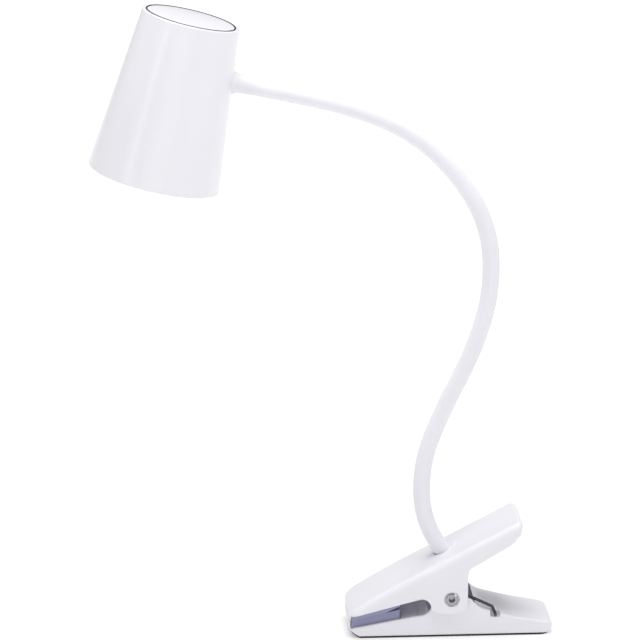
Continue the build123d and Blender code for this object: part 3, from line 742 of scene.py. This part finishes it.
def wall_distance(start):
    """How far along the neck's own direction a point meets the shade's outer wall."""
    reach = 12.0  # a first guess, which each turn improves
    for _ in range(12):
        here = start + entry_axis * reach - SHADE_BOTTOM
        height = here.dot(shade_axis)
        off = (here - shade_axis * height).length - shade_radius(height)
        reach += off
    return reach


def collar_ring(share, radius, segments=72):
    """One ring of the collar, at a share of the way to the shade's wall."""
    across = Vector((0, 1, 0))
    side = entry_axis.cross(across)
    ring_made = []
    for k in range(segments):
        angle = math.tau * k / segments
        start = entry + (across * math.cos(angle) + side * math.sin(angle)) * radius
        ring_made.append(start + entry_axis * wall_distance(start) * share)
    return ring_made


def make_collar():
    """The hollow flare that covers the neck's end and meets the shade's slanting wall."""
    shares = np.linspace(0, 1, 25)
    radii = np.interp(shares, *zip(*COLLAR))
    smooth = np.convolve(np.pad(radii, 2, mode="edge"), (0.1, 0.2, 0.4, 0.2, 0.1), mode="valid")
    rings = [collar_ring(share, radius) for share, radius in zip(shares, smooth)]
    rings += [collar_ring(share, SLEEVE_INSIDE_R) for share in (1.0, 0.0)]
    points = [tuple(p) for ring_made in rings for p in ring_made]
    count, segments = len(rings), len(rings[0])
    faces = []
    for i, k in product(range(count), range(segments)):
        n = (k + 1) % segments
        a, b = i * segments, (i + 1) % count * segments
        faces.append((a + k, b + k, b + n, a + n))
    return add_mesh("collar", points, faces, sharp=50)


dress(make_collar(), "head", "neck_white", "head_collar")

# ---- Upper jaw -----------------------------------------------------------------------
STUD_ANGLE = math.radians(NECK_START_ANGLE)
STUD_AXIS = (math.cos(STUD_ANGLE), 0.0, math.sin(STUD_ANGLE))
STUD_ORIGIN = (NECK_START[0], 0.0, NECK_START[1])
PIVOT = (0, 0, PIVOT_Z)
ACROSS = (0, 1, 0)
UPWARDS = (0, 0, 1)
PAST_THE_SIDES = 30  # half-length of a cut that goes right across the clip
# The back of the upper jaw, from its tip over the handle to the handle's underside
UPPER_BACK = (
    (-62.0, 13.0), ((-61.8, 15.0), (-60.0, 16.5)), ((-36.9, 30.6), (-12.6, 43.5)), (38.6, 70.3),
    ((42.6, 69.4), (43.2, 65.4)), ((41.9, 61.8), (38.6, 59.2)),
)
UPPER_SIDE = outline(
    (-60.9, 11.1), *UPPER_BACK, (13.2, 44.0), ((10.5, 41.9), (9.5, 38.6)),
    (9.5, 19.5), ((8.7, 17.1), (6.5, 15.8)), ((-2.0, 14.5), (-10.4, 16.4)),
    ((-12.0, 17.6), (-12.2, 19.6)), ((-14.2, 23.1), (-19.5, 24.1)), (LIP_X, 13.7), (LIP_X, 11.1),
)
UPPER_TOP = outline((-60.9, 0.0), *UPPER_BACK, (38.6, 0.0))
UPPER_MIDDLE_X = -9.4
UPPER_LENGTH = 105.2
UPPER_EDGE = 4.6  # rounding of the back's long edges
COVER_POST_X = -9.5
COVER_POST_Y = 12
SPRING_SEAT = [(17.5, 49.6), (25, 54.2), (25, 61.5), (17.5, 57.6)]
SPRING_SEAT_HALF = 1.6
STUD_BOSS_R = 8.5
STUD_BORE_R = 4.1
COUNTERBORE_DEPTH = 0.8
COUNTERBORE_GAP = 0.7
INLET_PLACE = (-22, 35.9)
INLET_TILT = math.radians(29.5)
INLET_SIZE = (9.4, 8, 3.6)


def upper_jaw_field(x, y, z):
    """Hollow jaw and handle, with its ears, screw posts, neck socket, pin holes and power inlet."""
    top = polygon(UPPER_TOP, x, z)
    plan = rounded_rectangle(x, y, (UPPER_MIDDLE_X, 0), (UPPER_LENGTH, JAW_WIDTH), PLAN_CORNER)
    skin = both(top, plan, UPPER_EDGE)
    side = polygon(UPPER_SIDE, x, z)
    solid = both(skin, side, 0.45)
    solid = less(solid, skin + WALL, 0.35)
    room = np.maximum(skin, side)
    for post_y in (-COVER_POST_Y, COVER_POST_Y):
        post = rod(x, y, z, (COVER_POST_X, post_y, 0), UPWARDS, POST_R, 32.0, 60.0)
        solid = np.minimum(solid, np.maximum(post, room))
    seat = np.abs(y - UPPER_LEG_Y) - SPRING_SEAT_HALF
    solid = np.minimum(solid, np.maximum(seat, polygon(SPRING_SEAT, x, z)))
    boss = rod(x, y, z, STUD_ORIGIN, STUD_AXIS, STUD_BOSS_R, -5.0, -0.2)
    solid = plus(solid, np.maximum(boss, room), 0.6)
    solid = less(solid, rod(x, y, z, STUD_ORIGIN, STUD_AXIS, NECK_R + 0.45, 0.0, 9.0), 0.5)
    solid = less(solid, rod(x, y, z, STUD_ORIGIN, STUD_AXIS, STUD_BORE_R, -12.0, 1.0), 0.1)
    bore = rod(x, y, z, PIVOT, ACROSS, PIN_R + 0.05, -PAST_THE_SIDES, PAST_THE_SIDES)
    solid = less(solid, bore, 0.1)
    counterbore_r = PIN_HEAD_R + COUNTERBORE_GAP
    floor_y = JAW_WIDTH / 2 - COUNTERBORE_DEPTH
    for end in (-1, 1):
        counterbore = rod(x, y * end, z, PIVOT, ACROSS, counterbore_r, floor_y, PAST_THE_SIDES)
        solid = less(solid, counterbore, 0.3)
    c, s = math.cos(INLET_TILT), math.sin(INLET_TILT)
    off_x, off_z = x - INLET_PLACE[0], z - INLET_PLACE[1]
    tilted_x, tilted_z = off_x * c + off_z * s, -off_x * s + off_z * c
    inlet = block(tilted_x, y, tilted_z, (0, UPPER_INSIDE, -2.4), INLET_SIZE, 0.8)
    return less(solid, inlet, 0.3)


upper = grown("upper_jaw_shell", upper_jaw_field, (-63, -22.5, 10), (44.3, 22.5, 72), 0.62)
dress(upper, "upper_jaw", "clip_white", "upper_jaw")

# ---- Lower jaw -----------------------------------------------------------------------
LOWER_SIDE = outline(
    (-54.5, FOOT_T), (-59.2, 3.6), (-61, 7), (-61, 10.6), (LIP_X, 10.6), (LIP_X, 6.1),
    (-20.5, 13.2), ((-14.6, 14.9), (-11.5, 18.5)), (-8.31, 26.23), ((0.0, 32.6), (8.6, 24.4)),
    (12.2, 22.6), ((16.2, 18.3), (21.8, 15.8)), (38, 11.6), (57.3, 7.9),
    ((60.8, 4.8), (58.5, FOOT_T)),
)
LOWER_MIDDLE_X = -0.1
LOWER_LENGTH = 121.9
LOWER_EDGE = 1.1  # rounding of the sides' edges
OPEN_ABOVE = 50
# Pockets for the pad and the spring, open above, and the room for the ballast, open below
PAD_SEAT = [(LIP_X, 5.4), (-30, 9.2), (-30, OPEN_ABOVE), (LIP_X, OPEN_ABOVE)]
WELL = [(-13.2, 10.5), (14, 10.5), (14, OPEN_ABOVE), (-13.2, OPEN_ABOVE)]
CAVITY = [
    (-54, 0), (-54, 3.6), (-30, 7.0), (-28, 9.4), (-20.5, 11.0), (-15.4, 11.6), (-15.4, 8.4),
    (16, 8.4), (16, 14.0), (22, 10.4), (29.5, 10.0), (36, 8.6), (55.5, 5.5), (55.5, 0),
]
BASE_SCREWS = list(product((-22, 36), (11, -11)))
SCREW_HOLE_R = 1.05
HOOK_NOTCH = (5.6, 10.6, 4.6)


def lower_jaw_field(x, y, z):
    """Base of the clip: lobes round the pin, pad seat, spring well, ballast room, screw posts."""
    side = polygon(LOWER_SIDE, x, z)
    plan = rounded_rectangle(x, y, (LOWER_MIDDLE_X, 0), (LOWER_LENGTH, BASE_WIDTH), PLAN_CORNER)
    solid = both(side, plan, LOWER_EDGE)
    for pocket in (PAD_SEAT, WELL):
        channel = np.maximum(polygon(pocket, x, z), np.abs(y) - BASE_INSIDE)
        solid = less(solid, channel, 0.4)
    cavity = np.maximum(polygon(CAVITY, x, z), np.abs(y) - BASE_INSIDE)
    solid = less(solid, cavity, 0.2)
    for screw_x, screw_y in BASE_SCREWS:
        foot_of_post = (screw_x, screw_y, 0)
        solid = np.minimum(solid, rod(x, y, z, foot_of_post, UPWARDS, POST_R, 2.6, 11.2))
        solid = less(solid, rod(x, y, z, foot_of_post, UPWARDS, SCREW_HOLE_R, 2.0, 7.6), 0.1)
    notch = block(x, y, z, (HOOK_X - 0.2, -BASE_WIDTH / 2, HOOK_Z + 0.7), HOOK_NOTCH, 0.8)
    solid = less(solid, notch, 0.3)
    bore = rod(x, y, z, PIVOT, ACROSS, PIN_R + 0.02, -PAST_THE_SIDES, PAST_THE_SIDES)
    return less(solid, bore, 0.1)


lower = grown("lower_jaw_shell", lower_jaw_field, (-62, -20, 0), (62, 20, 34), 0.6)
dress(lower, "base", "clip_white", "lower_jaw")

# ---- Pads ----------------------------------------------------------------------------
PAD_FRONT = -59.1
PAD_BACK = -30.3
PAD_CLEARANCE = 0.1
PAD_EDGE = 0.5
RIB_PITCH = 2.6
RIB_DEPTH = 0.264
RIB_LEAN = 0.22  # the ribs stand square to the sloping face
RIB_MARGIN = 1.2
RIBS_START_Z = 8
LOWER_PAD = [
    (PAD_FRONT, 5.5), (PAD_BACK, 9.3), (PAD_BACK, 16.9), (-40, 14.85), (PAD_FRONT, 10.55),
]
UPPER_PAD = [
    (PAD_FRONT, 10.95), (-40, 15.2), (PAD_BACK, 19.6), (PAD_BACK, 24.5), (-54.5, 16.6),
    (PAD_FRONT, 14.1),
]


def lower_pad_field(x, y, z):
    """Pad with ribs across its gripping face."""
    solid = both(polygon(LOWER_PAD, x, z), np.abs(y) - (BASE_INSIDE - PAD_CLEARANCE), PAD_EDGE)
    waves = (1 + np.cos(math.tau * (x + z * RIB_LEAN) / RIB_PITCH)) / 2
    fade = np.clip((z - RIBS_START_Z) / 2, 0, 1)
    return solid + RIB_DEPTH * waves * fade * (np.abs(y) < BASE_INSIDE - RIB_MARGIN)


def upper_pad_field(x, y, z):
    """Plain pad under the upper jaw."""
    return both(polygon(UPPER_PAD, x, z), np.abs(y) - (UPPER_INSIDE - PAD_CLEARANCE), PAD_EDGE)


pad = grown("lower_grip", lower_pad_field, (-60, -17.8, 4.5), (-29.2, 17.8, 18), 0.5)
dress(pad, "base", "pad_grey", "lower_pad")
pad = grown("upper_grip", upper_pad_field, (-60, -20.2, 10), (-29.2, 20.2, 25.6), 0.5)
dress(pad, "upper_jaw", "pad_grey", "upper_pad")


# ---- Foot ----------------------------------------------------------------------------
FOOT_SIDE = [
    (-54.2, 0), (57, 0), (58, FOOT_T), (-54.5, FOOT_T), (-59.2, 3.6), (-59.0, 2.6),
]
FOOT_MIDDLE_X = -0.3
FOOT_SIZE = (118, BASE_WIDTH - 0.8)
GROOVED_SIZE = (102, BASE_WIDTH - 8)
GROOVE_PITCH = 4.0
GROOVE_HALF = 0.7
GROOVE_DEPTH = 0.35


def foot_field(x, y, z):
    """Thin rubber foot with grooves across its underside."""
    plan = rounded_rectangle(x, y, (FOOT_MIDDLE_X, 0), FOOT_SIZE, 6.6)
    solid = both(polygon(FOOT_SIDE, x, z), plan, 0.2)
    border = rounded_rectangle(x, y, (0, 0), GROOVED_SIZE, 4.0)
    groove = np.maximum(border, np.abs((x % GROOVE_PITCH) - GROOVE_PITCH / 2) - GROOVE_HALF)
    return less(solid, np.maximum(groove, z - GROOVE_DEPTH), 0.15)


foot = grown("foot", foot_field, (-60.2, -19.4, -0.6), (58.6, 19.4, 4.4), 0.4)
dress(foot, "base", "foot_black", "foot_pad")

# ---- Pivot pin -----------------------------------------------------------------------
# Profiles are of (radius, distance from the lamp's middle plane)
HEAD_SEAT = JAW_WIDTH / 2 - 0.75
HEAD_FACE = HEAD_SEAT + 0.9
HEAD_FACE_R = 3.1
DIMPLE_R = 1.75
DIMPLE_FLOOR_R = 1.55
DIMPLE_FLOOR = HEAD_SEAT - 2.4
PIN_END = -HEAD_SEAT - 0.6
PIN_SEGMENTS = 72
pin_points = [
    (0, DIMPLE_FLOOR), (DIMPLE_FLOOR_R, DIMPLE_FLOOR), (DIMPLE_R, HEAD_FACE),
    (HEAD_FACE_R, HEAD_FACE), (PIN_HEAD_R, HEAD_SEAT + 0.35), (PIN_HEAD_R, HEAD_SEAT),
    (PIN_R, HEAD_SEAT), (PIN_R, PIN_END), (0, PIN_END),
]
pin_profile = rounded_profile(pin_points, (0, 0.3, 0.4, 0.35, 0.25, 0.1, 0, 0.2, 0))
pin = lathe("pin", pin_profile, PIVOT, (0, -1, 0), PIN_SEGMENTS)
dress(pin, "base", "pin_steel", "pivot_pin")
washer_points = [
    (PIN_R, HEAD_SEAT), (PIN_HEAD_R, HEAD_SEAT), (PIN_HEAD_R, HEAD_SEAT + 0.4),
    (HEAD_FACE_R, HEAD_FACE), (PIN_R, HEAD_FACE),
]
washer_profile = rounded_profile(washer_points, (0.05, 0.1, 0.2, 0.3, 0.05))
washer = lathe("pin_end", washer_profile, PIVOT, ACROSS, PIN_SEGMENTS)
dress(washer, "base", "pin_steel", "pin_cap")

# ---- Torsion spring --------------------------------------------------------------------
HOOK_END_Y = -18.9
UPPER_LEG_BEND_Z = 40.4
UPPER_LEG_END = (24.5, UPPER_LEG_Y, 52.4)
COIL_STEPS = 360
WIRE_SEGMENTS = 14


def fillet_path(points, radius, steps=8):
    """Points along straight runs with rounded corners."""
    made = [Vector(points[0])]
    for before, corner, after in zip(points, points[1:], points[2:]):
        corner = Vector(corner)
        a, b = (Vector(before) - corner).normalized(), (Vector(after) - corner).normalized()
        half = a.angle(b) / 2
        reach = radius / math.tan(half)
        first, last = corner + a * reach, corner + b * reach
        centre = corner + (a + b).normalized() * radius / math.sin(half)
        turn = math.pi - 2 * half
        for step in range(steps + 1):
            share = step / steps
            from_first = (first - centre) * math.sin((1 - share) * turn)
            from_last = (last - centre) * math.sin(share * turn)
            made.append(centre + (from_first + from_last) / math.sin(turn))
    made.append(Vector(points[-1]))
    return made


def spring_path():
    """The wire's middle line: hooked lower leg, coil, upper leg."""
    centre = Vector((0, LOWER_LEG_Y, PIVOT_Z))
    start_angle = LOWER_LEG_ANGLE + math.pi / 2
    foot_point = centre + Vector((math.cos(start_angle), 0, math.sin(start_angle))) * COIL_R
    leg_end = foot_point + along(LOWER_LEG_ANGLE) * LOWER_LEG_LENGTH
    hook = [(HOOK_X, HOOK_END_Y, HOOK_Z), (HOOK_X, LOWER_LEG_Y - 0.2, HOOK_Z)]
    lower_leg = fillet_path([*hook, tuple(leg_end), tuple(foot_point)], 1.2)
    sweep = math.tau * COIL_TURNS - start_angle
    coil = []
    for i in range(COIL_STEPS + 1):
        angle = start_angle + sweep * i / COIL_STEPS
        y = LOWER_LEG_Y + (UPPER_LEG_Y - LOWER_LEG_Y) * i / COIL_STEPS
        coil.append(Vector((COIL_R * math.cos(angle), y, PIVOT_Z + COIL_R * math.sin(angle))))
    bend = (COIL_R, UPPER_LEG_Y, UPPER_LEG_BEND_Z)
    upper_leg = fillet_path([(COIL_R, UPPER_LEG_Y, PIVOT_Z), bend, UPPER_LEG_END], 3.0)
    return lower_leg + coil[1:] + upper_leg[1:]


spring = tube("spring", spring_path(), WIRE_R, WIRE_SEGMENTS)
dress(spring, None, "spring_steel", "torsion_spring")
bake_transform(spring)

# ---- Finish --------------------------------------------------------------------------
bpy.context.view_layer.update()
